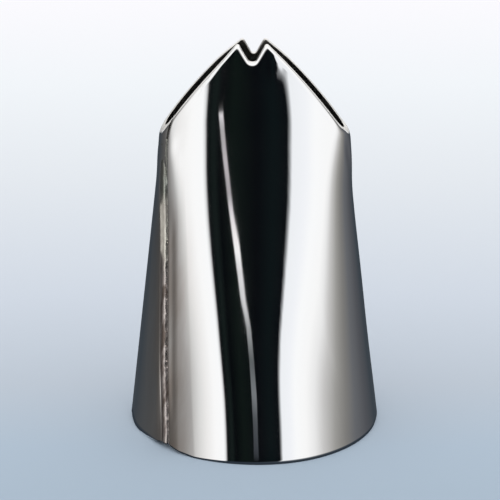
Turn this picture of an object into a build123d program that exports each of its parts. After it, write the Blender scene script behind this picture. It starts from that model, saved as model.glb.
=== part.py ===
from build123d import *

import os
from math import asin, cos, pi, radians, sin, tan

# Leaf piping nozzle: a tapered sheet metal tube, round at its foot and pressed flat to a slit at its mouth.
# The mouth is cut as a roof with a notch in its ridge, which leaves two pointed lips, one in front and one behind.
# The tube is rolled from one blank, whose long edges overlap at the front left and are held there by solder.
# +Z runs from the foot to the mouth, +X along the slit, and the front faces -Y. The foot's centre is the origin.

# Driving sizes, in millimetres and degrees

height = 41.3
base_diameter = 25.4
sheet_thickness = 0.6
base_edge_radius = 0.15

# Flanks: they taper straight from the foot and turn upright where the tube is pressed.
shoulder_width = 19.1
side_taper_height = 29.6
side_ease = 0.4

# Front and back: they taper straight from the foot to the mouth. Each is one wide arc at any height, whose radius
# grows from the foot's to the press tool's. The flanks' arcs are tangent to it.
mouth_thickness = 2.56
press_radius = 20.0
press_start = 5.0
press_end = 30.0

# Mouth: the lips fall away from two peaks and steepen towards the slit's ends.
peak_spacing = 2.6
peak_radius = 0.25
notch_depth = 2.3
notch_radius = 0.45
lip_top_angle = 44.6
lip_foot_angle = 54.5
lip_exit_angle = 75.0
lip_exit_run = 1.0
left_corner_radius = 2.2
right_corner_radius = 0.5
lip_bow_share = 0.85

# Seam: it climbs from the foot's front left to the left end of the slit. The angles say which way the sheet faces
# at its two ends, from the front towards the left. The edge behind it steps in by one thickness and runs on under the
# front edge, up to below the pressed end.
seam_foot_angle = 46.0
seam_head_angle = 45.0
seam_gap = 0.5
lap_width = 2.0
lap_share = 0.86
step_width = 0.7
solder_film = 0.1
bead_width = 1.3
bead_height = 0.1
fillet_width = 0.4
fillet_height = 0.3

# The tube's surface is drawn through this many level sections. Above the slit's ends the flanks are cut away, and
# there the sections close in behind the lips.
section_count = 24
crown_margin = 1.5
crown_lean = 0.6
crown_ease = 1.0
overrun = 0.5

# Sizes that follow

base_radius = base_diameter / 2
shoulder_half = shoulder_width / 2
mouth_half = mouth_thickness / 2
peak_half = peak_spacing / 2
side_taper = (base_radius - shoulder_half) / side_taper_height
front_taper = (base_radius - mouth_half) / height
lap_face = sheet_thickness + solder_film
lap_back = lap_face + sheet_thickness
reach = base_diameter + overrun

# Lips: each is two runs, from a peak to a knuckle and on to the slit's end, joined by one long bow.
knuckle_x = (peak_half + shoulder_half) / 2
knuckle_z = height - (knuckle_x - peak_half) * tan(radians(lip_top_angle))
corner_z = knuckle_z - (shoulder_half - knuckle_x) * tan(radians(lip_foot_angle))
exit_x = shoulder_half + lip_exit_run
exit_z = corner_z - lip_exit_run * tan(radians(lip_exit_angle))
lip_run = (knuckle_x - peak_half) / cos(radians(lip_top_angle))
bow_radius = lip_bow_share * lip_run / tan(radians(lip_foot_angle - lip_top_angle) / 2)


def eased_larger(size, least, ease):
    """The larger of two sizes, with a rounded change from one to the other."""
    over = size - least
    if over >= ease:
        return size
    if over <= -ease:
        return least
    return least + (over + ease) ** 2 / (4 * ease)


def half_width(z):
    """Half of the tube's outer width, along X, at a height."""
    flank = eased_larger(base_radius - side_taper * z, shoulder_half, side_ease)
    return flank - crown_lean * eased_larger(z - corner_z - crown_margin, 0, crown_ease)


def half_depth(z):
    """Half of the tube's outer depth, along Y, at a height."""
    return base_radius - front_taper * z


def front_radius(z):
    """Radius of the wide arc across the tube's front, at a height."""
    share = min(max((z - press_start) / (press_end - press_start), 0), 1)
    return base_radius + (press_radius - base_radius) * share**2 * (3 - 2 * share)


def fold_radius(z):
    """Radius of the arcs round the tube's flanks, at a height."""
    wide, deep, bow = half_width(z), half_depth(z), front_radius(z)
    return wide if bow == wide else (2 * bow * deep - wide**2 - deep**2) / (2 * (bow - wide))


def flank_point(angle, z):
    """Point of the left flank that faces a way, from the front towards the left, at a height."""
    fold = fold_radius(z)
    return Vector(fold - half_width(z) - fold * sin(angle), -fold * cos(angle), z)


# Seam: the plane on it has X across it towards the front, Y up along it and Z out of the sheet.
foot_angle = radians(seam_foot_angle)
head_angle = radians(seam_head_angle)
seam_foot = flank_point(foot_angle, 0)
seam_line = flank_point(head_angle, corner_z) - seam_foot
facing = (foot_angle + head_angle) / 2
across = seam_line.cross(Vector(-sin(facing), -cos(facing), 0)).normalized()
seam_plane = Plane(origin=seam_foot, x_dir=across, z_dir=across.cross(seam_line))
lap_length = lap_share * seam_line.length


def section(z, inset):
    """Closed outline of the tube at a height, of four tangent arcs, drawn in by an inset."""
    wide, deep, bow, fold = half_width(z), half_depth(z), front_radius(z), fold_radius(z)
    join = pi / 4 if bow == fold else asin((wide - fold) / (bow - fold))
    x = wide - fold + (fold - inset) * sin(join)
    y = (fold - inset) * cos(join)
    flank = ThreePointArc((x, -y, z), (wide - inset, 0, z), (x, y, z))
    back = ThreePointArc((x, y, z), (0, deep - inset, z), (-x, y, z))
    return Wire([flank, back, flank.mirror(Plane.YZ), back.mirror(Plane.XZ)])


def core(inset, top=height + overrun):
    """Solid inside the tube's outer surface, drawn in by an inset, from below the foot up to a top."""
    heights = [-overrun + (top + overrun) * i / (section_count - 1) for i in range(section_count)]
    return Solid.make_loft([section(z, inset) for z in heights])


def trim_block():
    """Everything above the lips, from front to back, and everything below the foot."""
    outline = FilletPolyline(
        (-reach, height + reach),
        (-reach, exit_z),
        (-exit_x, exit_z),
        (-shoulder_half, corner_z),
        (-knuckle_x, knuckle_z),
        (-peak_half, height),
        (0, height - notch_depth),
        (peak_half, height),
        (knuckle_x, knuckle_z),
        (shoulder_half, corner_z),
        (exit_x, exit_z),
        (reach, exit_z),
        (reach, height + reach),
        radius=[
            0,
            0,
            0,
            left_corner_radius,
            bow_radius,
            peak_radius,
            notch_radius,
            peak_radius,
            bow_radius,
            right_corner_radius,
            0,
            0,
            0,
        ],
        close=True,
    )
    above = extrude(Plane.XZ * make_face(outline), amount=reach, both=True)
    below = Pos(0, 0, -reach / 2) * Box(2 * reach, 2 * reach, reach)
    return above + below


def seam_block(start, stop, inward, length=None):
    """Straight bar along the seam, between two places across it and down to a depth in the sheet."""
    top = seam_line.length + reach if length is None else length
    outward = 2 * overrun
    size = Vector(stop - start, top + reach, inward + outward)
    middle = Pos((start + stop) / 2, (top - reach) / 2, (outward - inward) / 2)
    return seam_plane * middle * Box(size.X, size.Y, size.Z)


def tube_shell():
    """The rolled blank: the sheet all round, open at the seam, with its rear edge stepped in under the front one."""
    sheet = core(0) - core(sheet_thickness) - trim_block()
    foot_edges = sheet.edges().group_by(Axis.Z)[0]
    rim = [edge for edge in foot_edges if (edge @ 0.5).length > base_radius - sheet_thickness / 2]
    sheet = fillet(rim, base_edge_radius)
    sheet = sheet - seam_block(-seam_gap / 2, seam_gap / 2, 2 * sheet_thickness + solder_film)
    lap_core = core(lap_back, corner_z)
    step_start = -seam_gap / 2 - step_width
    lap = core(lap_face) & seam_block(step_start, lap_width, 3 * lap_back, lap_length)
    step = core(sheet_thickness / 2) & seam_block(step_start, -seam_gap / 2, 3 * lap_back, lap_length)
    return sheet + ((lap + step) - lap_core - trim_block())


def seam_solder():
    """The solder: it fills the seam and the film under the front edge, with a low bead outside and a fillet inside."""
    bead = core(-bead_height) & seam_block(-bead_width / 2, bead_width / 2, bead_width)
    bead = bead - core(0)
    seam = core(0) & seam_block(-seam_gap / 2, seam_gap / 2, 2 * sheet_thickness + solder_film)
    film = core(sheet_thickness) & seam_block(0, lap_width, 3 * lap_back, lap_length)
    fill = (seam + film) - core(lap_face)
    bank = core(sheet_thickness) & seam_block(lap_width, lap_width + fillet_width, 3 * lap_back, lap_length)
    bank = bank - core(sheet_thickness + fillet_height, corner_z)
    return bead + fill + bank - trim_block()


os.makedirs("parts", exist_ok=True)
export_step(tube_shell(), "parts/tube_shell.step")
export_step(seam_solder(), "parts/seam_solder.step")
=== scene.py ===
"""Looks of the leaf piping nozzle: a rolled, pressed and soldered tube of bright plated sheet, in a pale studio.

Sizes inside the classes are in millimetres and degrees. Finished meshes are in metres, in the frame of the CAD.
"""

import logging
import math
from dataclasses import dataclass
from enum import Enum
from functools import partial

import bmesh
import bpy
import numpy as np
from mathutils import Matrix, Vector

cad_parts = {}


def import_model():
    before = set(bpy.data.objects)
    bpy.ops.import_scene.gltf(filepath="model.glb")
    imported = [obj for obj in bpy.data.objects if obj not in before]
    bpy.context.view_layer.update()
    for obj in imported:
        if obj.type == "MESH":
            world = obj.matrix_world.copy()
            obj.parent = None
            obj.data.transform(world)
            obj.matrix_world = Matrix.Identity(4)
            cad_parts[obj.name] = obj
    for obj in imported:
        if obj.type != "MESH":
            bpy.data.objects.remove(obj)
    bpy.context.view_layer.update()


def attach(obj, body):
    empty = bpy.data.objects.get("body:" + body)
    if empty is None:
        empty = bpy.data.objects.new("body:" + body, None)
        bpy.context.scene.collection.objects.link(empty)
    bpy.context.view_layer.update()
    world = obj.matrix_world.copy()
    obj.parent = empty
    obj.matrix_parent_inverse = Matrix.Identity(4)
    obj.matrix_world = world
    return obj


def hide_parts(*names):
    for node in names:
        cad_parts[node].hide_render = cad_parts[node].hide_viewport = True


LOG = logging.getLogger("nozzle")
MM = 0.001
# Length from the seam for columns that nothing beside it reaches
AWAY = -9.0
Array = np.ndarray
Span = tuple[float, float]
Tree = bpy.types.NodeTree
Node = bpy.types.Node
Socket = bpy.types.NodeSocket
Material = bpy.types.Material
Thing = bpy.types.Object
Faces = list[tuple[int, ...]]
Row = tuple[float, ...]
Rows = tuple[Row, ...]
Stops = tuple[tuple[float, str], ...]
Inputs = dict[str | int, object]


def smooth(value: Array, start: float, stop: float) -> Array:
    """Eased change of numbers from 0 at a start to 1 at a stop, which may lie on either side of it."""
    share = np.clip((np.asarray(value, dtype=float) - start) / (stop - start), 0.0, 1.0)
    return share * share * (3.0 - 2.0 * share)


def hump(value: Array, centre: float, width: float) -> Array:
    """Bell shaped bump of height 1, fallen to about a third at its width from the centre."""
    return np.exp(-(((np.asarray(value, dtype=float) - centre) / width) ** 2))


def hump_round(turn: Array, centre: float, width: float) -> Array:
    """Bell shaped bump of height 1 round an outline of four quarters."""
    return hump(np.mod(np.asarray(turn) - centre + 2.0, 4.0), 2.0, width)


def thinned(values: Array, least: float) -> Array:
    """Sorts numbers and drops those that come too close after one that is kept.

    Args:
        values: the numbers.
        least: the least step between two of them.

    Returns:
        The numbers that are kept, in rising order.
    """
    kept = [float(np.min(values))]
    for value in np.sort(values):
        if value - kept[-1] > least:
            kept.append(float(value))
    return np.array(kept)


def linear(hex_colour: str) -> Row:
    """Linear colour, with an alpha of 1, of an sRGB hex value."""
    parts = [int(hex_colour[i : i + 2], 16) / 255 for i in (0, 2, 4)]
    return (*(c / 12.92 if c <= 0.04045 else ((c + 0.055) / 1.055) ** 2.4 for c in parts), 1.0)


def fill_node(tree: Tree, node: Node, inputs: Inputs) -> None:
    """Sets and links a node's inputs.

    Args:
        tree: the node's tree.
        node: the node.
        inputs: what goes into each input, by name or place: a value, a socket, or a node for its first output.
    """
    for name, value in inputs.items():
        value = value.outputs[0] if isinstance(value, Node) else value
        if isinstance(value, Socket):
            tree.links.new(value, node.inputs[name])
        else:
            node.inputs[name].default_value = value


def add_node(tree: Tree, kind: str, inputs: Inputs | None = None, **settings: object) -> Node:
    """Adds a node with its settings, values and links.

    Args:
        tree: the tree that gets the node.
        kind: the node's type name, which a shader node has without ShaderNode.
        inputs: what goes into its inputs.
        settings: the node's own properties.

    Returns:
        The new node.
    """
    node = tree.nodes.new(kind if "Node" in kind else f"ShaderNode{kind}")
    for name, value in settings.items():
        setattr(node, name, value)
    fill_node(tree, node, inputs or {})
    return node


def pattern(tree: Tree, place: Socket, width: float, draw: float, detail: float) -> Node:
    """Adds noise with patches of a width in millimetres, drawn out along the height by a scale under 1."""
    drawn = add_node(tree, "Mapping", {"Vector": place, "Scale": (1.0, 1.0, draw)})
    return add_node(tree, "TexNoise", {"Vector": drawn, "Scale": 1 / (width * MM), "Detail": detail})


def graded(tree: Tree, value: Socket | Node, stops: Stops, unit: float) -> Node:
    """Adds a colour that changes along a value.

    Args:
        tree: the tree that gets the nodes.
        value: the value.
        stops: places along it with their sRGB hex colours, in rising order, 32 at most.
        unit: the value's size at a place of 1.

    Returns:
        The node that gives the colour.
    """
    low, high = stops[0][0], stops[-1][0]
    share = add_node(tree, "MapRange", {"Value": value, 1: low * unit, 2: high * unit})
    node = add_node(tree, "ValToRGB", {"Fac": share})
    elements = node.color_ramp.elements
    elements[0].color, elements[1].color = linear(stops[0][1]), linear(stops[-1][1])
    for place, colour in stops[1:-1]:
        elements.new((place - low) / (high - low)).color = linear(colour)
    return node


def new_material(name: str) -> tuple[Material, Tree, Node, Socket]:
    """Makes a material with the shader that Blender gives it.

    Args:
        name: the material's name.

    Returns:
        The material, its tree, the shader and the place on the object.
    """
    material = bpy.data.materials.new(name)
    material.use_nodes = True
    tree = material.node_tree
    return material, tree, tree.nodes["Principled BSDF"], add_node(tree, "TexCoord").outputs["Object"]


def mesh_object(name: str, points: Array, faces: Faces) -> Thing:
    """Makes a mesh object from points in millimetres.

    Args:
        name: the object's name.
        points: one row for each vertex.
        faces: the vertex numbers round each face.

    Returns:
        The object, linked to the scene at the origin.
    """
    mesh = bpy.data.meshes.new(name)
    mesh.from_pydata((points * MM).tolist(), [], faces)
    mesh.validate()
    thing = bpy.data.objects.new(name, mesh)
    bpy.context.scene.collection.objects.link(thing)
    return thing


def belt_faces(count: int, size: int) -> Faces:
    """Faces between closed rings of points that follow each other, as the vertex numbers round each."""
    corners = [(ring * size, k, (k + 1) % size) for ring in range(count - 1) for k in range(size)]
    return [(at + k, at + n, at + size + n, at + size + k) for at, k, n in corners]


def turn_out(mesh: bpy.types.Mesh) -> None:
    """Turns the faces of a closed mesh outwards.

    Args:
        mesh: the mesh.
    """
    bm = bmesh.new()
    bm.from_mesh(mesh)
    bmesh.ops.recalc_face_normals(bm, faces=bm.faces)
    bm.to_mesh(mesh)
    bm.free()


@dataclass
class TubeForm:
    """Outer form of the tube: level outlines of four tangent arcs, round at the foot and flat at the mouth.

    A place on an outline is a number of quarters: 0 at the left flank, 1 at the front, 2 at the right flank, 3 at
    the back and 4 at the left flank again.
    """

    height: float = 41.3
    base_radius: float = 12.7
    thickness: float = 0.6
    shoulder_half: float = 9.55
    side_taper_height: float = 29.6
    side_ease: float = 0.4
    mouth_half: float = 1.28
    press_radius: float = 20.0
    press_start: float = 5.0
    press_end: float = 30.0
    corner_z: float = 31.45
    crown_margin: float = 1.5
    crown_lean: float = 0.6
    crown_ease: float = 1.0
    least_z: float = 0.002
    # What rolling and pressing have moved: a crowned mouth, a foot that leans, a flare left of the seam's foot, and a
    # flat at the foot's left front and a fold below the slit's left end, with depth, place, width, rise and fade
    crown_curve: float = 0.006
    crown_width: float = 6.0
    crown_rise: Span = (33.5, 39.0)
    lean_slope: float = -0.044
    lean_width: float = 11.0
    lean_top: float = 13.0
    flare_depth: float = -0.16
    flare_aside: float = 7.2
    flare_run: float = 1.5
    flare_ease: Span = (0.0, 0.3)
    flare_fade: Span = (2.0, 14.0)
    folds: tuple[tuple[float, float, float, Span, Span], ...] = (
        (0.38, 0.32, 0.17, (-2, -1), (0, 9)),
        (-0.15, 0.2, 0.12, (20, 27), (30, 33)),
    )

    def eased_larger(self, size: Array, least: float, ease: float) -> Array:
        """The larger of two sizes, with a rounded change between them, twice the ease long."""
        over = size - least
        return np.where(over >= ease, size, np.where(over <= -ease, least, least + (over + ease) ** 2 / (4 * ease)))

    def half_width(self, z: Array) -> Array:
        """Half of the width along X.

        Args:
            z: heights.

        Returns:
            The half width at each.
        """
        taper = (self.base_radius - self.shoulder_half) / self.side_taper_height
        flank = self.eased_larger(self.base_radius - taper * z, self.shoulder_half, self.side_ease)
        over = z - self.corner_z - self.crown_margin
        return flank - self.crown_lean * self.eased_larger(over, 0.0, self.crown_ease)

    def half_depth(self, z: Array) -> Array:
        """Half of the depth along Y at a height."""
        return self.base_radius - (self.base_radius - self.mouth_half) * z / self.height

    def arcs(self, z: Array) -> tuple[Array, ...]:
        """Sizes of the outline at a height.

        Args:
            z: heights.

        Returns:
            Half width, half depth, radius of the wide arcs, radius of the flanks' arcs, angle where they join,
            length of half a flank arc and length of a quarter of the outline.
        """
        z = np.maximum(z, self.least_z)
        wide, deep = self.half_width(z), self.half_depth(z)
        share = smooth(z, self.press_start, self.press_end)
        bow = self.base_radius + (self.press_radius - self.base_radius) * share
        fold = (2 * bow * deep - wide**2 - deep**2) / (2 * (bow - wide))
        join = np.arcsin(np.clip((wide - fold) / (bow - fold), 0.0, 1.0))
        flank = fold * (np.pi / 2 - join)
        return wide, deep, bow, fold, join, flank, flank + bow * join

    def quarter(self, z: Array) -> Array:
        """Length of a quarter of the outline at a height."""
        return self.arcs(z)[6]

    def point(self, place: Array, z: Array, inset: Array) -> Array:
        """Points on the outline, drawn in by an inset.

        Args:
            place: places in quarters round the outline.
            z: their heights.
            inset: how far each lies inside the outer surface.

        Returns:
            One row of X, Y and Z for each place.
        """
        wide, deep, bow, fold, join, flank, quarter = self.arcs(z)
        turn = np.mod(place, 4.0)
        number = np.floor(turn)
        share = turn - number
        share = np.where((number == 1) | (number == 3), 1.0 - share, share)
        along = share * quarter
        alpha = np.minimum(along / fold, np.pi / 2 - join)
        beta = join * (1.0 - np.clip((along - flank) / (quarter - flank), 0.0, 1.0))
        on_flank = along < flank
        x = np.where(on_flank, wide - fold + (fold - inset) * np.cos(alpha), (bow - inset) * np.sin(beta))
        y = np.where(on_flank, (fold - inset) * np.sin(alpha), deep - bow + (bow - inset) * np.cos(beta))
        x = np.where((number == 0) | (number == 3), -x, x)
        y = np.where(number < 2, -y, y)
        return np.stack([x, y, np.broadcast_to(z, x.shape)], axis=-1)

    def place_of(self, x: Array, z: Array) -> Array:
        """Place in the first quarter of the point at a distance from the middle.

        Args:
            x: distances from the middle, along X.
            z: their heights.

        Returns:
            Places from 0 at the left flank to 1 at the front.
        """
        wide, _, bow, fold, join, flank, quarter = self.arcs(z)
        alpha = np.arccos(np.clip((np.abs(x) - wide + fold) / fold, -1.0, 1.0))
        beta = np.arcsin(np.clip(np.abs(x) / bow, 0.0, 1.0))
        along = np.where(alpha < np.pi / 2 - join, fold * alpha, flank + bow * (join - beta))
        return np.clip(along / quarter, 0.0, 1.0)

    def moved(self, place: Array, z: Array) -> Array:
        """How far rolling and pressing have moved the sheet, and the solder with it, inside the plain form.

        Args:
            place: places in quarters round the outline.
            z: heights.

        Returns:
            Insets, negative where the sheet stands proud.
        """
        turn = np.mod(place, 4.0)
        aside = (np.mod(place, 2.0) - 1.0) * self.quarter(z)
        crowned = self.crown_curve * aside**2 * hump(aside, 0.0, self.crown_width) * smooth(z, *self.crown_rise)
        lean = self.lean_slope * aside * hump(aside, 0.0, self.lean_width) * (1.0 - smooth(z, 0.0, self.lean_top))
        flare = self.flare_depth / (1.0 + np.exp((aside + self.flare_aside) / self.flare_run))
        flare = flare * smooth(turn, *self.flare_ease) * (1.0 - smooth(z, *self.flare_fade))
        inset = crowned + lean * (turn < 2.0) + flare * (turn < 1.0)
        for depth, middle, wide, rise, fade in self.folds:
            inset = inset + depth * hump(turn, middle, wide) * smooth(z, *rise) * (1.0 - smooth(z, *fade))
        return inset


@dataclass
class MouthCut:
    """The roof shaped cut across the mouth, seen from the front, with its two peaks and the notch between them."""

    form: TubeForm
    peak_half: float = 1.3
    peak_radius: float = 0.25
    notch_depth: float = 2.3
    notch_radius: float = 0.45
    lip_top_angle: float = 44.6
    lip_foot_angle: float = 54.5
    lip_exit_angle: float = 75.0
    lip_exit_run: float = 1.0
    left_corner_radius: float = 2.2
    right_corner_radius: float = 0.5
    lip_bow_share: float = 0.85
    front_left_shift: float = 0.26
    back_left_shift: float = -0.24
    back_right_shift: float = 0.15
    right_end_shift: float = -0.22
    right_end_run: float = 0.7
    arc_steps: int = 14

    def outline(self) -> Array:
        """The cut's line, from left to right.

        Returns:
            One row of X and Z for each of its points.
        """
        half, top = self.form.shoulder_half, self.form.height
        knuckle_x = (self.peak_half + half) / 2
        run = knuckle_x - self.peak_half
        knuckle_z = top - run * math.tan(math.radians(self.lip_top_angle))
        corner_z = knuckle_z - (half - knuckle_x) * math.tan(math.radians(self.lip_foot_angle))
        exit_z = corner_z - self.lip_exit_run * math.tan(math.radians(self.lip_exit_angle))
        turn = math.radians(self.lip_foot_angle - self.lip_top_angle)
        bow = self.lip_bow_share * run / math.cos(math.radians(self.lip_top_angle)) / math.tan(turn / 2)
        right = [
            (self.peak_half, top, self.peak_radius),
            (knuckle_x, knuckle_z, bow),
            (half, corner_z, self.right_corner_radius),
            (half + self.lip_exit_run, exit_z, 0.0),
        ]
        left = [(-x, z, r) for x, z, r in reversed(right)]
        left[1] = (-half, corner_z, self.left_corner_radius)
        corners = np.array([*left, (0.0, top - self.notch_depth, self.notch_radius), *right])
        ends, points = corners[:, :2], [corners[0, :2]]
        for before, corner, after, radius in zip(ends, ends[1:], ends[2:], corners[1:, 2]):
            points += self.rounded(before, corner, after, radius)
        return np.array([*points, ends[-1]])

    def rounded(self, before: Array, corner: Array, after: Array, radius: float) -> list[Array]:
        """Points of the arc that rounds a corner.

        Args:
            before: the corner before this one.
            corner: the corner to round.
            after: the corner after it.
            radius: the arc's radius.

        Returns:
            Points from one end of the arc to the other.
        """
        back = (before - corner) / np.linalg.norm(before - corner)
        on = (after - corner) / np.linalg.norm(after - corner)
        half = math.acos(float(np.clip(back @ on, -1.0, 1.0))) / 2
        middle = (back + on) / np.linalg.norm(back + on)
        centre = corner + middle * radius / math.sin(half)
        start = corner + back * radius / math.tan(half) - centre
        stop = corner + on * radius / math.tan(half) - centre
        sweep = math.pi - 2 * half
        shares = [i / self.arc_steps for i in range(self.arc_steps + 1)]
        return [
            centre + (math.sin((1 - s) * sweep) * start + math.sin(s * sweep) * stop) / math.sin(sweep) for s in shares
        ]

    def skew(self, x: Array, front: Array) -> Array:
        """How much further right the cut's line is read than it would be in a cut that runs straight through.

        Args:
            x: distances from the middle.
            front: whether each is on the front lip.

        Returns:
            Shifts, which set the front lip's left peak further out and the back lip's peaks further in.
        """
        left, right = hump(x, -self.peak_half, self.peak_half), hump(x, self.peak_half, self.peak_half)
        back = self.back_left_shift * left + self.back_right_shift * right
        half = self.form.shoulder_half
        corner = self.right_end_shift * smooth(x, half - self.right_end_run, half)
        return np.where(front, self.front_left_shift * left, back) + corner

    def roof(self, points: Array) -> Array:
        """Height of the cut at points of the sheet."""
        line, x = self.outline(), points[:, 0]
        return np.interp(x + self.skew(x, points[:, 1] < 0), line[:, 0], line[:, 1])


@dataclass
class SeamLine:
    """The line of the front sheet's edge, from the foot's front left to the left end of the slit."""

    form: TubeForm
    foot_x: float = -8.85
    head_x: float = -8.71
    head_z: float = 31.2
    gap: float = 0.16
    step_inset: float = 0.7
    step_span: Span = (-1.15, -0.2)
    lap_width: float = 2.0
    lap_loss: float = 0.98
    lap_fade: Span = (23.5, 27.0)
    step_fade: Span = (26.0, 29.5)

    def place(self, z: Array) -> Array:
        """Place of the seam on the outline at a height, in quarters."""
        level = np.clip(z, 0.0, self.head_z)
        return self.form.place_of(self.foot_x + (self.head_x - self.foot_x) * level / self.head_z, level)

    def step(self, along: Array, z: Array) -> Array:
        """Inset of the rear sheet, stepped in under the front one, at a length past the seam."""
        return self.step_inset * smooth(along, *self.step_span) * (1.0 - smooth(z, *self.step_fade))

    def lap(self, z: Array) -> Array:
        """Width of the rear sheet under the front one at a height."""
        return self.lap_width * (1.0 - self.lap_loss * smooth(z, *self.lap_fade))


class Face(Enum):
    """Sides of the plated sheet, in the order of the sheet's material slots."""

    OUTSIDE = 0
    INSIDE = 1
    EDGE = 2


@dataclass
class RolledBlank:
    """The sheet: rolled to a tube, pressed flat at its mouth, cut and ground, its rear edge under the front one."""

    form: TubeForm
    cut: MouthCut
    seam: SeamLine
    rows: int = 64
    first_row: float = 0.0015
    lip_round: float = 0.3
    lip_round_inside: float = 0.12
    lip_most: float = 0.45
    lip_most_inside: float = 0.3
    lip_shares: Row = (0.2, 0.4, 0.6, 0.8)
    lip_shares_inside: Row = (0.33, 0.67)
    foot_round_inside: float = 0.12
    foot_angles: Row = (30.0, 60.0, 90.0)
    # The foot's outer edge is turned in, less so by the seam. Shares of its height, with depths for each height
    curl: tuple[Span, ...] = ((0.0, 0.36), (0.04, 0.32), (0.85, 0.03), (0.93, 0.005))
    curl_height: float = 0.45
    curl_height_at_seam: float = 0.16
    curl_hump: Span = (0.5, 0.42)
    foot_lift: float = 0.54
    lift_hump: Span = (0.49, 0.1)
    edge_round: float = 0.2
    edge_lengths: Row = (0.0, 0.015, 0.05, 0.1, 0.15, 0.2, 0.28, 0.4, 0.55, 0.7, 0.85, 1.0, 1.2, 1.5)
    rear_lengths: Row = (1.9, 1.6, 1.35, 1.15, 1.0, 0.9, 0.8, 0.7, 0.6, 0.5, 0.4, 0.3, 0.2)
    lap_shares: Row = (0.0, 0.25, 0.5, 0.75, 0.95, 1.0)
    # Dents and swellings: depth, place round the outline, width there, level and height
    dents: Rows = (
        (-0.28, 2, 0.16, 30, 4.5), (-0.08, 2, 0.3, 16, 8), (-0.14, 2, 0.3, 0, 7), (-0.07, 0, 0.16, 29, 1.6),
        (-0.037, 1.27, 0.06, 38.6, 1.2), (-0.04, 1.35, 0.07, 40, 1.4), (-0.09, 0.385, 0.03, 2, 6),
        (0.07, 1.9, 0.035, 29.8, 1.4), (-0.06, 1.97, 0.03, 28.6, 1.8), (0.05, 2.03, 0.04, 25.5, 1.2),
        (0.03, 0.3, 0.05, 30.6, 1),
    )
    # Ripple that the soldering iron's heat has left in the front sheet, beside the seam
    ripple_height: float = 0.045
    ripple_crest: float = 0.785
    ripple_length: float = 1.14
    ripple_reach: float = 0.8
    ripple_start: float = -0.3
    ripple_rise: Span = (2.0, 6.0)
    ripple_fade: Span = (21.0, 25.0)
    stain_quarter: float = 16.0
    stain_width: float = 2.2
    stain_fade: Span = (20.0, 27.0)
    # Spacing of the columns, and the search for the height where each meets the cut
    lip_steps: int = 44
    lip_end: float = 0.97
    fine_step: float = 0.09
    least_step: float = 0.03
    flank_steps: int = 26
    edge_quarters: Span = (0.16, 0.21)
    least_quarter: float = 0.002
    shared_columns: int = 6
    search_steps: int = 44
    search_below: float = 4.5
    search_above: float = 0.6
    edge_angle: float = 50.0

    def lip_places(self) -> Array:
        """Places of the columns whose tops shape the mouth.

        Returns:
            Quarters from the seam's head, in rising order.
        """
        line = self.cut.outline()
        near = self.cut.peak_half + self.cut.notch_radius
        fine = line[np.abs(line[:, 0]) < near, 0]
        edge = float(self.form.half_width(np.array(self.form.corner_z)))
        inner = self.fine_step * np.arange(int(near / self.fine_step))
        half = np.array([*inner, *np.linspace(near, edge * self.lip_end, self.lip_steps)])
        xs = thinned(np.concatenate([-half, fine, half]), self.least_step)
        tops = self.cut.roof(np.stack([xs, 0 * xs, 0 * xs], axis=1))
        first = self.form.place_of(xs, tops)
        front = np.where(xs < 0, first, 2.0 - first)
        back = 4.0 - front[::-1]
        right = np.linspace(front[-1], back[0], self.flank_steps + 2)[1:-1]
        left = np.linspace(back[-1], front[0] + 4.0, self.flank_steps + 2)[1:-1]
        head = float(self.seam.place(np.array(self.seam.head_z)))
        again = front[: self.shared_columns] + 4.0
        places = np.concatenate([front, right, back, left, left - 4.0, again]) - head
        inside = (places > self.edge_quarters[0]) & (places < 4.0 - self.edge_quarters[1])
        return thinned(places[inside], self.least_quarter)

    def columns(self) -> tuple[Array, ...]:
        """The columns round the blank, from the front edge to the end of the lap.

        Returns:
            Each column's quarters from the seam, its length from there, its share of the lap, whether it is in the
            lap, and how far its edge is rounded.
        """
        lengths, rear = np.array(self.edge_lengths), -np.array(self.rear_lengths)
        short = np.maximum(self.edge_round - lengths, 0.0)
        turned = self.edge_round - np.sqrt(self.edge_round**2 - short**2)
        front, lip = (0, lengths, 0, 0, turned), (self.lip_places(), 0, 0, 0, 0)
        parts = (front, lip, (4, rear, 0, 0, 0), (4, 0, np.array(self.lap_shares), 1, 0))
        return tuple(np.concatenate([np.stack(np.broadcast_arrays(*part)) for part in parts], axis=1))

    def relief(self, place: Array, z: Array, from_edge: Array) -> Array:
        """How far the sheet lies inside its plain form, where rolling, pressing and soldering have moved it.

        Args:
            place: places in quarters round the outline.
            z: heights.
            from_edge: lengths from the seam, positive in the front sheet.

        Returns:
            Insets, negative where the sheet stands proud.
        """
        wave = np.cos(2 * np.pi * (from_edge - self.ripple_crest) / self.ripple_length)
        ripple = self.ripple_height * wave * np.exp(-np.abs(from_edge) / self.ripple_reach)
        ripple = ripple * smooth(z, *self.ripple_rise) * (1.0 - smooth(z, *self.ripple_fade))
        inset = self.form.moved(place, z) + ripple * (from_edge > self.ripple_start)
        for depth, middle, wide, level, tall in self.dents:
            inset = inset + depth * hump_round(np.mod(place, 4.0), middle, wide) * hump(z, level, tall)
        return inset

    def below(self, line: Array, radius: float) -> Array:
        """Heights of the line that runs parallel to the cut's edge, lower in the sheet.

        Args:
            line: points of the edge, one for each column.
            radius: the distance between the two lines.

        Returns:
            Each column's height on the lower line.
        """
        shares = np.linspace(0.0, 1.0, 8, endpoint=False)[:, None, None]
        dense = (line[None, :-1] * (1 - shares) + line[None, 1:] * shares).reshape(-1, 3)
        aside = np.linalg.norm(line[:, None, :2] - dense[None, :, :2], axis=2)
        drop = np.sqrt(np.maximum(radius**2 - aside**2, 0.0))
        heights = np.where(aside < radius, dense[None, :, 2] - drop, np.inf)
        return np.minimum(heights.min(axis=1), line[:, 2] - radius)

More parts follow.
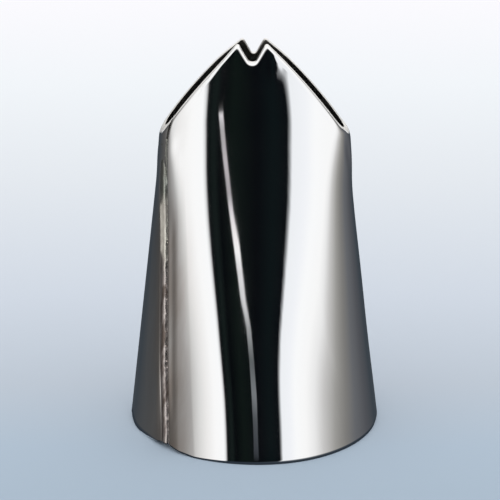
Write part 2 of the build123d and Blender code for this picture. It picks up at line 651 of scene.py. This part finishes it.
    def build(self) -> Thing:
        """Makes the sheet as one closed mesh.

        Returns:
            The sheet's object.
        """
        quarters, along, lap, is_lap, rounding = self.columns()
        count, thickness = len(quarters), self.form.thickness

        def spread(z: Array) -> Array:
            """Each column's length from the seam at a height."""
            return along - is_lap * self.seam.gap + lap * self.seam.lap(z)

        def wall(z: Array, inner: bool) -> Array:
            """Points of one side of the sheet.

            Args:
                z: the height of each column's point.
                inner: whether they lie on the inner side.

            Returns:
                One row for each column.
            """
            length = spread(z)
            place = self.seam.place(z) + quarters + length / self.form.quarter(z)
            stepped = self.seam.step(np.where(quarters >= 4.0, length, AWAY), z)
            inset = stepped + self.relief(place, z, np.where(quarters == 0.0, along, AWAY))
            return self.form.point(place, z, inset + (thickness - rounding if inner else rounding))

        def top(inner: bool) -> Array:
            """Height at which each column meets the cut.

            Args:
                inner: whether on the inner side.

            Returns:
                One height for each column.
            """
            low = np.full(count, self.form.corner_z - self.search_below)
            high = np.full(count, self.form.height + self.search_above)
            for _ in range(self.search_steps):
                middle = (low + high) / 2
                over = middle > self.cut.roof(wall(middle, inner))
                low, high = np.where(over, low, middle), np.where(over, middle, high)
            return (low + high) / 2

        def bend(one: Array, corner: Array, two: Array, share: float) -> Array:
            """Points on the round between two sides of a corner."""
            return (1 - share) ** 2 * one + 2 * share * (1 - share) * corner + share**2 * two

        def foot(depth: Array, z: Array) -> Array:
            """Points of the foot's edge at depths in the sheet."""
            outer, inner = wall(z, False), wall(z, True)
            return outer + (inner - outer) * (depth / thickness)[:, None]

        corner_out, corner_in = wall(top(False), False), wall(top(True), True)
        across = corner_in - corner_out
        width = np.linalg.norm(across, axis=1, keepdims=True)
        across = across / width
        start_out = self.below(corner_out, self.lip_round)
        start_in = self.below(corner_in, self.lip_round_inside)
        first, last = wall(start_out, False), wall(start_in, True)
        face_out = corner_out + across * np.minimum(self.lip_round, width * self.lip_most)
        face_in = corner_in - across * np.minimum(self.lip_round_inside, width * self.lip_most_inside)

        shares = np.concatenate([[0.0], np.linspace(self.first_row, 1.0, self.rows - 1)])
        floor_z = np.array(0.0)
        turn = self.seam.place(floor_z) + quarters + spread(floor_z) / self.form.quarter(floor_z)
        lift = self.foot_lift * hump_round(turn, *self.lift_hump)
        curl = self.curl_height - (self.curl_height - self.curl_height_at_seam) * hump_round(turn, *self.curl_hump)
        low_out, low_in = lift + curl, lift + self.foot_round_inside
        rings = [wall(low_out + (start_out - low_out) * share, False) for share in shares]
        rings += [bend(first, corner_out, face_out, share) for share in self.lip_shares]
        rings += [face_out, (face_out + face_in) / 2, face_in]
        rings += [bend(face_in, corner_in, last, share) for share in self.lip_shares_inside]
        top_stop = len(rings)
        rings += [wall(low_in + (start_in - low_in) * share, True) for share in shares[::-1]]
        inner_stop = len(rings)
        radius = self.foot_round_inside
        for angle in np.radians(self.foot_angles):
            depth = np.full(count, thickness - radius * (1 - math.cos(angle)))
            rings.append(foot(depth, lift + radius * (1 - math.sin(angle))))
        rings += [foot(depth * curl, lift + share * curl) for share, depth in self.curl]

        ring_count = len(rings)
        lip_stop = self.rows + len(self.lip_shares) - 1
        kinds = [Face.OUTSIDE] * lip_stop + [Face.EDGE] * (top_stop - lip_stop) + [Face.INSIDE] * self.rows
        kinds += [Face.EDGE] * len(self.foot_angles) + [Face.OUTSIDE] * len(self.curl)
        kinds *= count - 1
        faces = belt_faces(count, ring_count)
        for at in (0, (count - 1) * ring_count):
            far = at + inner_stop - 1
            faces += [(at + r, at + r + 1, far - r - 1, far - r) for r in range(self.rows - 1)]
            faces.append(tuple(at + r for r in range(self.rows - 1, top_stop + 1)))
            faces.append(tuple(at + r for r in [*range(inner_stop - 1, ring_count), 0]))
            kinds += [Face.EDGE] * (self.rows + 1)

        thing = mesh_object("nozzle_sheet", np.stack(rings, axis=1).reshape(-1, 3), faces)
        mesh = thing.data
        mesh.polygons.foreach_set("material_index", [kind.value for kind in kinds])
        self.mark_seam(mesh, np.repeat(quarters, ring_count), np.repeat(along, ring_count))
        turn_out(mesh)
        mesh.shade_smooth()
        mesh.set_sharp_from_angle(angle=math.radians(self.edge_angle))
        return thing

    def mark_seam(self, mesh: bpy.types.Mesh, quarters: Array, along: Array) -> None:
        """Stores how near each point is to the seam, for the stain that the soldering leaves.

        Args:
            mesh: the sheet's mesh.
            quarters: each point's quarters from the seam.
            along: each point's length from there.
        """
        turn = np.where(quarters > 2.0, quarters - 4.0, quarters)
        near = hump(turn * self.stain_quarter + along, 0.0, self.stain_width)
        heights = np.zeros(len(mesh.vertices) * 3)
        mesh.vertices.foreach_get("co", heights)
        near = near * (1.0 - smooth(heights[2::3] / MM, *self.stain_fade))
        layer = mesh.attributes.new("near_seam", "FLOAT", "POINT")
        layer.data.foreach_set("value", near.astype(np.float32))


@dataclass
class SeamSolder:
    """The solder: a low uneven bead in the seam, and the film and fillet between the two edges of the sheet."""

    form: TubeForm
    seam: SeamLine
    stations: int = 300
    foot_z: float = 0.56
    head_z: float = 31.3
    fillet_drop: float = 0.8
    crest_rise: Span = (18.8, 20.2)
    crest_fade: Span = (24.2, 25.4)
    proud_fade: Span = (24.5, 27.0)
    proud_loss: float = 0.9
    deep_inset: float = 0.2
    deep_loss: float = 0.85
    even_end: float = 0.02
    # Profiles: length from the seam, inset, share of the unevenness, and inset added in the crest
    bead: Rows = (
        (-1.1, 0.015, 0, 0), (-1.09, 0.014, 0, 0), (-0.98, -0.002, 0.3, -0.17), (-0.87, -0.018, 0.4, -0.112),
        (-0.76, -0.032, 0.4, -0.054), (-0.66, -0.034, 0.4, -0.009), (-0.53, -0.012, 0.5, 0.011),
        (-0.4, 0.03, 0.6, 0.011), (-0.3, 0.1, 0.9, 0), (-0.22, 0.18, 1, 0), (-0.14, 0.25, 1, 0), (-0.06, 0.3, 0.6, 0),
        (0.02, 0.34, 0, 0), (0.02, 0.58, 0, 0), (-0.3, 0.68, 0, 0), (-0.6, 0.4, 0, 0), (-0.9, 0.16, 0, 0),
    )
    fillet: Rows = (
        (-0.1, 0.605, 0, 0), (0.5, 0.605, 0, 0), (1, 0.605, 0, 0), (1.35, 0.6, 0, 0), (1.2, 0.68, 0.6, 0),
        (1.08, 0.8, 1, 0), (1.01, 0.98, 0.4, 0), (1, 0.72, 0, 0), (0.5, 0.695, 0, 0), (-0.1, 0.695, 0, 0),
    )
    lump_height: float = 0.2
    lump_length: float = 0.8
    lump_middle: float = 0.45
    grain_radius: float = 0.11
    grain_least: Row = (0.5, 0.5, 0.3)
    grain_most: Row = (1.3, 1.3, 0.7)
    grain_crown: float = 0.8
    bead_grains: float = 0.02
    seed: int = 7

    def sweep(self, name: str, profile: Rows, top: float, lapped: bool) -> Thing:
        """Sweeps a closed profile along the seam.

        Args:
            name: the object's name.
            profile: the profile.
            top: height where it ends.
            lapped: whether its lengths are shares of the lap's width.

        Returns:
            The object, with the unevenness stored as an attribute.
        """
        lengths, insets, rough, crests = np.array(profile).T
        z = np.linspace(self.foot_z, top, self.stations)[:, None]
        unit = self.seam.lap(z) if lapped else 1.0
        place = self.seam.place(z) + lengths * unit / self.form.quarter(z)
        deep = 0.0 if lapped else self.deep_loss * smooth(z, *self.seam.step_fade) * (insets > self.deep_inset)
        proud = self.proud_loss * smooth(z, *self.proud_fade) * (insets < 0)
        crest = smooth(z, *self.crest_rise) * (1.0 - smooth(z, *self.crest_fade))
        inset = insets * (1.0 - deep) * (1.0 - proud) + crests * crest + self.form.moved(place, z)
        points = self.form.point(place, np.broadcast_to(z, place.shape), inset)
        size = len(profile)
        faces = belt_faces(self.stations, size)
        faces += [tuple(range(at, at + size)) for at in (0, (self.stations - 1) * size)]
        thing = mesh_object(name, points.reshape(-1, 3), faces)
        turn_out(thing.data)
        uneven = thing.data.attributes.new("uneven", "FLOAT", "POINT")
        ends = smooth(np.linspace(0, 1, self.stations), 0.0, self.even_end)[:, None]
        uneven.data.foreach_set("value", (rough * ends).reshape(-1).astype(np.float32))
        return thing

    def tree(self, material: Material) -> Tree:
        """Geometry Nodes that make swept solder uneven and set grains of solder along it.

        Args:
            material: the solder's material.

        Returns:
            The tree.
        """
        tree = bpy.data.node_groups.new("uneven_solder", "GeometryNodeTree")
        add = partial(add_node, tree)
        face = tree.interface
        face.new_socket("Geometry", in_out="INPUT", socket_type="NodeSocketGeometry")
        face.new_socket("Geometry", in_out="OUTPUT", socket_type="NodeSocketGeometry")
        for name, kind, value in (
            ("Lump height", "NodeSocketFloat", self.lump_height * MM),
            ("Lumps per metre", "NodeSocketFloat", 1 / (self.lump_length * MM)),
            ("Grain radius", "NodeSocketFloat", self.grain_radius * MM),
            ("Grain chance", "NodeSocketFloat", self.bead_grains),
            ("Seed", "NodeSocketInt", self.seed),
        ):
            face.new_socket(name, in_out="INPUT", socket_type=kind).default_value = value
        given = add("NodeGroupInput").outputs
        seed, uneven = given["Seed"], add("GeometryNodeInputNamedAttribute", {"Name": "uneven"})
        normal, place = add("GeometryNodeInputNormal"), add("GeometryNodeInputPosition")
        # Lumps: each point moves along its normal
        lumps = {"Vector": place, "W": seed, "Scale": given["Lumps per metre"], "Detail": 3.0}
        noise = add("TexNoise", lumps, noise_dimensions="4D")
        centred = add("Math", {0: noise, 1: self.lump_middle}, operation="SUBTRACT")
        amount = add("Math", {0: centred, 1: uneven}, operation="MULTIPLY")
        sized = add("Math", {0: amount, 1: given["Lump height"]}, operation="MULTIPLY")
        offset = add("VectorMath", {0: normal, "Scale": sized}, operation="SCALE")
        moved = add("GeometryNodeSetPosition", {"Geometry": given["Geometry"], "Offset": offset})
        # Grains: flattened balls on a few points of the crown
        crown = add("FunctionNodeCompare", {0: uneven, 1: self.grain_crown}, operation="GREATER_THAN")
        odds = {"Probability": given["Grain chance"], "Seed": seed}
        chance = add("FunctionNodeRandomValue", odds, data_type="BOOLEAN").outputs[3]
        chosen = add("FunctionNodeBooleanMath", {0: crown, 1: chance}, operation="AND")
        points = add("GeometryNodeMeshToPoints", {"Mesh": moved, "Selection": chosen})
        ball = add("GeometryNodeMeshIcoSphere", {"Radius": given["Grain radius"], "Subdivisions": 2})
        sizes = {0: self.grain_least, 1: self.grain_most, "Seed": seed}
        scale = add("FunctionNodeRandomValue", sizes, data_type="FLOAT_VECTOR")
        set_on = add("GeometryNodeInstanceOnPoints", {"Points": points, "Instance": ball, "Scale": scale})
        joined = add("GeometryNodeJoinGeometry", {0: set_on})
        fill_node(tree, joined, {0: moved})
        real = add("GeometryNodeRealizeInstances", {0: joined})
        soft = add("GeometryNodeSetShadeSmooth", {0: real})
        dressed = add("GeometryNodeSetMaterial", {"Geometry": soft, "Material": material})
        add("NodeGroupOutput", {0: dressed})
        return tree

    def finished(self, thing: Thing, tree: Tree, chance: float) -> Thing:
        """Runs the tree on a swept piece and keeps the result as its plain mesh.

        Args:
            thing: the swept piece.
            tree: the tree.
            chance: share of its points that carry a grain.

        Returns:
            The same piece.
        """
        modifier = thing.modifiers.new("uneven", "NODES")
        modifier.node_group = tree
        keys = {item.name: item.identifier for item in tree.interface.items_tree if item.in_out == "INPUT"}
        modifier[keys["Grain chance"]] = chance
        modifier[keys["Seed"]] = self.seed
        evaluated = thing.evaluated_get(bpy.context.evaluated_depsgraph_get())
        mesh = bpy.data.meshes.new_from_object(evaluated)
        thing.modifiers.remove(modifier)
        old = thing.data
        thing.data = mesh
        mesh.name = thing.name
        bpy.data.meshes.remove(old)
        return thing

    def build(self, material: Material) -> list[Thing]:
        """Makes the bead and the inner fillet.

        Args:
            material: the solder's material.

        Returns:
            The two pieces.
        """
        tree = self.tree(material)
        bead = self.sweep("solder_bead", self.bead, self.head_z, False)
        bead = self.finished(bead, tree, self.bead_grains)
        fillet = self.sweep("solder_fillet", self.fillet, self.seam.lap_fade[1] - self.fillet_drop, True)
        return [bead, self.finished(fillet, tree, 0.0)]


@dataclass(frozen=True)
class NickelPlate:
    """Bright nickel plate on rolled steel sheet, buffed outside, as plated inside, ground at the cut edges."""

    name: str
    colour: str
    stain: str
    roughness: float
    haze: float
    wave_height: float
    scratch_height: float
    streak_width: float = 1.5
    streak_draw: float = 0.16
    patch_width: float = 4.0
    patch_span: Span = (0.35, 0.75)
    dulling: float = 0.12
    wave_length: float = 5.0
    scratch_spacing: float = 0.12
    scratch_draw: float = 0.04

    def material(self) -> Material:
        """Makes the material.

        Returns:
            The material: a bright mirror whose reflections waver slightly where the sheet was rolled, with a faint
            buffing haze and a warm stain beside the seam.
        """
        material, tree, shader, place = new_material(self.name)
        add = partial(add_node, tree)
        near = add("Attribute", attribute_name="near_seam").outputs["Fac"]
        # Stain: warm streaks of flux and heat colour, drawn out along the seam
        streaks = pattern(tree, place, self.streak_width, self.streak_draw, 4.0)
        amount = add("Math", {0: near, 1: streaks}, operation="MULTIPLY")
        colours = {"Factor": amount, 6: linear(self.colour), 7: linear(self.stain)}
        mixed = add("Mix", colours, data_type="RGBA").outputs[2]
        # Haze: soft patches where the buff has left less shine, and a duller sheet beside the seam
        patches = pattern(tree, place, self.patch_width, 1.0, 3.0)
        low, high = self.patch_span
        spans = {"Value": patches, 1: low, 2: high, 3: self.roughness, 4: self.roughness + self.haze}
        hazy = add("MapRange", spans)
        dull = add("Math", {0: near, 1: self.dulling}, operation="MULTIPLY")
        rough = add("Math", {0: hazy, 1: dull}, operation="ADD")
        # Waves: the faint unevenness of rolled sheet, which makes its reflections waver
        waves = pattern(tree, place, self.wave_length, 1.0, 1.0)
        rolled = add("Bump", {"Height": waves, "Distance": self.wave_height * MM})
        # Scratches: fine upright buffing lines, which soften a highlight sideways
        lines = pattern(tree, place, self.scratch_spacing, self.scratch_draw, 2.0)
        cuts = {"Height": lines, "Distance": self.scratch_height * MM, "Normal": rolled}
        buffed = add("Bump", cuts)
        fill_node(tree, shader, {"Metallic": 1.0, "Base Color": mixed, "Roughness": rough, "Normal": buffed})
        return material


@dataclass(frozen=True)
class SoftSolder:
    """Soft solder that has flowed into the seam, dull and pinkish brown from its flux."""

    name: str = "soft_solder"
    bright: str = "ddd3cf"
    # Painted highlight: a cream colour that stands in for the bright reflection on the bead's crown
    painted_cream_highlight: str = "f3efe4"
    painted_highlight_span: Span = (17.5, 20.0)
    thin: str = "b0b3ab"
    thin_span: Span = (24.6, 26.0)
    brown: str = "8d8079"
    flux_width: float = 0.7
    flux_draw: float = 0.2
    flux_span: Span = (0.36, 0.5)
    highlight_clears_flux: float = 0.8
    roughness: float = 0.22
    dulling: float = 0.2
    dull_span: Span = (0.3, 0.7)
    grain_width: float = 0.15
    grain_height: float = 0.01

    def material(self) -> Material:
        """Makes the material.

        Returns:
            The material: satin metal with brown flux in its hollows, a painted cream highlight along its crown higher
                up, and a grainy skin.
        """
        material, tree, shader, place = new_material(self.name)
        add = partial(add_node, tree)
        # Flux: dull brown patches, drawn out along the seam
        flux = pattern(tree, place, self.flux_width, self.flux_draw, 3.0)
        low, high = self.flux_span
        patched = add("MapRange", {"Value": flux, 1: low, 2: high})
        # Metal: pinkish where it has run thin, a painted cream highlight along the crown from about 20 mm up, and grey
        # where only a film is left
        height = add("SeparateXYZ", {0: place}).outputs[2]
        colour, levels = linear(self.bright), []
        for above, (low, high) in ((self.painted_cream_highlight, self.painted_highlight_span), (self.thin, self.thin_span)):
            level = add("MapRange", {"Value": height, 1: low * MM, 2: high * MM})
            colours = {"Factor": level, 6: colour, 7: linear(above)}
            colour = add("Mix", colours, data_type="RGBA").outputs[2]
            levels.append(level)
        # The painted highlight also clears the brown flux from the crown
        highlight_share = add("Math", {0: levels[0], 1: self.highlight_clears_flux}, operation="MULTIPLY")
        share = add("Math", {0: patched, 1: highlight_share}, operation="MAXIMUM")
        colours = {"Factor": share, 6: linear(self.brown), 7: colour}
        mixed = add("Mix", colours, data_type="RGBA").outputs[2]
        low, high = self.dull_span
        spans = {"Value": flux, 1: low, 2: high, 3: self.roughness + self.dulling, 4: self.roughness}
        rough = add("MapRange", spans)
        # Skin: fine grain from fast cooling
        grain = pattern(tree, place, self.grain_width, 1.0, 3.0)
        bump = add("Bump", {"Height": grain, "Distance": self.grain_height * MM})
        fill_node(tree, shader, {"Metallic": 1.0, "Base Color": mixed, "Roughness": rough, "Normal": bump})
        return material


# In the order of Face
PLATES = (
    NickelPlate("nickel_plate_buffed", "f4f4f4", "a8917f", 0.03, 0.02, 0.0008, 0.0001),
    NickelPlate("nickel_plate_inside", "c9c7c2", "8f7a68", 0.22, 0.15, 0.01, 0.002),
    NickelPlate("nickel_plate_ground_edge", "eceae6", "a8917f", 0.3, 0.12, 0.004, 0.004),
)


@dataclass
class Studio:
    """Graduated paper under the nozzle, a soft studio round it for the metal to show, and the camera."""

    floor_half: float = 1500.0
    # The paper's colour along Y
    paper: Stops = (
        (-26, "adbece"), (-8, "b5c5d5"), (8, "c2ccd8"), (32, "d3dbe6"), (67, "e5eaf0"), (100, "f2f6fa"),
        (133, "fcfbff"),
    )
    # The walls' colour by the angle from the front to the right
    surround: Stops = (
        (-180, "40464d"), (-150, "3a4046"), (-120, "484a4c"), (-98, "545352"), (-84, "676665"), (-77, "767472"),
        (-70, "878583"), (-60, "a8a7a6"), (-49, "dcdcdb"), (-43, "eeedec"), (-36, "fbfbfb"), (-28.6, "fbfcfd"),
        (-26.7, "05070a"), (-23, "151d1c"), (-19.5, "06080b"), (-12, "0d1513"), (2, "07090d"), (12, "0b1315"),
        (20.5, "0a0c10"), (22.3, "eef1f4"), (30, "f3f5f9"), (36, "fbfcfd"), (46, "f9f9f9"), (55, "eaeaea"),
        (65, "c6c5c4"), (78, "9c9b98"), (85, "8b8a87"), (92, "7c7b79"), (106, "64666a"), (126, "505257"),
        (150, "3a4148"), (180, "40464d"),
    )
    # Laid over the walls: the part behind that stands above the paper, the roof, and the paper far below. Angles
    # towards the back (axis 1) or up (axis 2) between which each sets in, its share and its colour
    layers: tuple[tuple[tuple[tuple[int, Span], ...], float, str], ...] = (
        (((1, (40, 60)), (2, (-11, -3))), 1.0, "ffffff"),
        (((2, (15, 30)),), 1.0, "ffffff"),
        (((2, (-28, -42)),), 0.45, "b4c1cf"),
    )
    bright: float = 1.08
    light: str = "ffffff"
    backdrop: str = "fcfbff"
    # Reflections show the paper inside the nozzle, and a painted contact shadow round its foot: a dark emission ring
    # that only reflections see
    shaded_radius: float = 12.4
    painted_shadow_reach: Span = (12.9, 13.6)
    painted_contact_shadow: str = "2e363f"
    strip_y: float = -200.0
    # The strip's middle, height and half width, and its colour by height
    strip_path: Rows = (
        (-7.5, 22, 7), (-6, 27.6, 6.2), (-4.5, 31.6, 7.4), (-6.6, 35.5, 7), (-12.5, 40, 6), (-25.8, 43.8, 6.8),
        (-34.5, 48.8, 7), (-39, 51.6, 7.2), (-48.5, 55.8, 5), (-54.5, 60.3, 5), (-67, 67.8, 5.2), (-74, 76, 5),
    )
    strip_glow: Stops = (
        (22, "383c42"), (27.6, "505458"), (31, "7c8084"), (35.5, "5c6062"), (39.9, "a0a2a4"), (43, "d8d8da"),
        (48, "e6e4e6"), (50, "ffffff"), (52.5, "fffafa"), (55.8, "e0dce0"), (58, "a8a4a8"), (62.7, "c4bec2"),
        (67.7, "aeacae"), (72.5, "e4e0e4"), (74, "404040"), (76, "202020"),
    )
    camera_from: Row = (-0.35, -463.5, 206.0)
    camera_to: Row = (-0.35, 0.0, 18.47)
    lens: float = 351.1
    sensor: float = 36.0
    clip: Span = (10.0, 20000.0)

    def floor(self) -> Thing:
        """Makes the paper, blue grey in front and white behind.

        Returns:
            The floor.
        """
        half = self.floor_half
        corners = np.array([[-half, -half, 0.0], [half, -half, 0.0], [half, half, 0.0], [-half, half, 0.0]])
        floor = mesh_object("paper_floor", corners, [(0, 1, 2, 3)])
        material, tree, shader, place = new_material("graduated_paper")
        add = partial(add_node, tree)
        tree.nodes.remove(shader)
        along = add("SeparateXYZ", {0: place}).outputs[1]
        paper = add("BsdfDiffuse", {"Color": graded(tree, along, self.paper, MM)})
        # Only reflections pass the paper outside the nozzle, so that the metal shows the studio's walls, beyond a
        # painted dark contact shadow just round the foot
        level = add("VectorMath", {0: place}, operation="LENGTH").outputs["Value"]
        beyond = add("Math", {0: level, 1: self.shaded_radius * MM}, operation="GREATER_THAN")
        glossy = add("LightPath").outputs["Is Glossy Ray"]
        passed = add("Math", {0: beyond, 1: glossy}, operation="MULTIPLY")
        near, far = self.painted_shadow_reach
        ends = {"Value": level, 1: near * MM, 2: far * MM}
        fading = add("MapRange", ends, interpolation_type="SMOOTHSTEP")
        # Painted contact shadow: a dark emission that reflections see round the foot, fading to clear further out
        shade = add("Emission", {"Color": linear(self.painted_contact_shadow)})
        clear = add("BsdfTransparent")
        past = add("MixShader", {0: fading, 1: shade, 2: clear})
        mixed = add("MixShader", {0: passed, 1: paper, 2: past})
        fill_node(tree, tree.nodes["Material Output"], {"Surface": mixed})
        floor.data.materials.append(material)
        return floor

    def strip(self) -> Thing:
        """Makes the thin bright strip that the front of the nozzle reflects as a streak.

        Returns:
            The strip.
        """
        points = [(x + side * half, self.strip_y, z) for x, z, half in self.strip_path for side in (-1, 1)]
        faces = [(2 * i, 2 * i + 1, 2 * i + 3, 2 * i + 2) for i in range(len(self.strip_path) - 1)]
        strip = mesh_object("strip_light", np.array(points), faces)
        material, tree, shader, place = new_material("strip_glow")
        add = partial(add_node, tree)
        tree.nodes.remove(shader)
        up = add("SeparateXYZ", {0: place}).outputs[2]
        colour = graded(tree, up, self.strip_glow, MM)
        glow = add("Emission", {"Color": colour})
        fill_node(tree, tree.nodes["Material Output"], {"Surface": glow})
        strip.data.materials.append(material)
        strip.visible_camera = False
        strip.visible_diffuse = False
        strip.visible_shadow = False
        return strip

    def world(self) -> None:
        """Makes the light: plain white for the paper, and the studio's walls for the metal to reflect."""
        world = bpy.data.worlds.new("studio")
        bpy.context.scene.world = world
        world.use_nodes = True
        tree = world.node_tree
        tree.nodes.clear()
        add = partial(add_node, tree)
        way = add("TexCoord").outputs["Generated"]
        split = add("SeparateXYZ", {0: way}).outputs
        front = add("Math", {0: split[1], 1: -1.0}, operation="MULTIPLY")
        turn = add("Math", {0: split[0], 1: front}, operation="ARCTAN2")
        colour = graded(tree, turn, self.surround, math.pi / 180)
        for reaches, amount, over in self.layers:
            for axis, (low, high) in reaches:
                ends = {"Value": split[axis], 1: math.sin(math.radians(low)), 2: math.sin(math.radians(high))}
                eased = add("MapRange", ends, interpolation_type="SMOOTHSTEP")
                amount = add("Math", {0: eased, 1: amount}, operation="MULTIPLY")
            colours = {"Factor": amount, 6: colour, 7: linear(over)}
            colour = add("Mix", colours, data_type="RGBA").outputs[2]
        path = add("LightPath").outputs
        walls = add("Background", {"Color": colour, "Strength": self.bright})
        light = add("Background", {"Color": linear(self.light)})
        pale = add("Background", {"Color": linear(self.backdrop)})
        metal = add("MixShader", {0: path["Is Glossy Ray"], 1: light, 2: walls})
        seen = add("MixShader", {0: path["Is Camera Ray"], 1: metal, 2: pale})
        add("OutputWorld", {"Surface": seen})

    def camera(self) -> None:
        """Puts the camera at the photograph's angle. Its image is 500 by 500."""
        data = bpy.data.cameras.new("camera")
        data.sensor_width = self.sensor
        data.lens = self.lens
        data.clip_start, data.clip_end = self.clip[0] * MM, self.clip[1] * MM
        camera = bpy.data.objects.new("camera", data)
        bpy.context.scene.collection.objects.link(camera)
        start, stop = Vector(self.camera_from) * MM, Vector(self.camera_to) * MM
        camera.location = start
        camera.rotation_euler = (stop - start).to_track_quat("-Z", "Y").to_euler()
        bpy.context.scene.camera = camera


def main() -> None:
    """Builds the nozzle and its studio round the frame."""
    logging.basicConfig(level=logging.INFO, format="%(message)s")
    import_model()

    bpy.context.scene.view_settings.view_transform = "Standard"
    studio = Studio()
    studio.camera()
    studio.floor()
    studio.strip()
    studio.world()

    form = TubeForm()
    seam = SeamLine(form)
    sheet = RolledBlank(form, MouthCut(form), seam).build()
    for plate in PLATES:
        sheet.data.materials.append(plate.material())
    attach(sheet, "root")
    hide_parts("tube_shell")
    LOG.info("%s: %d faces", sheet.name, len(sheet.data.polygons))

    for piece in SeamSolder(form, seam).build(SoftSolder().material()):
        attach(piece, "root")
        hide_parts("seam_solder")
        LOG.info("%s: %d faces", piece.name, len(piece.data.polygons))


if __name__ == "__main__":
    main()
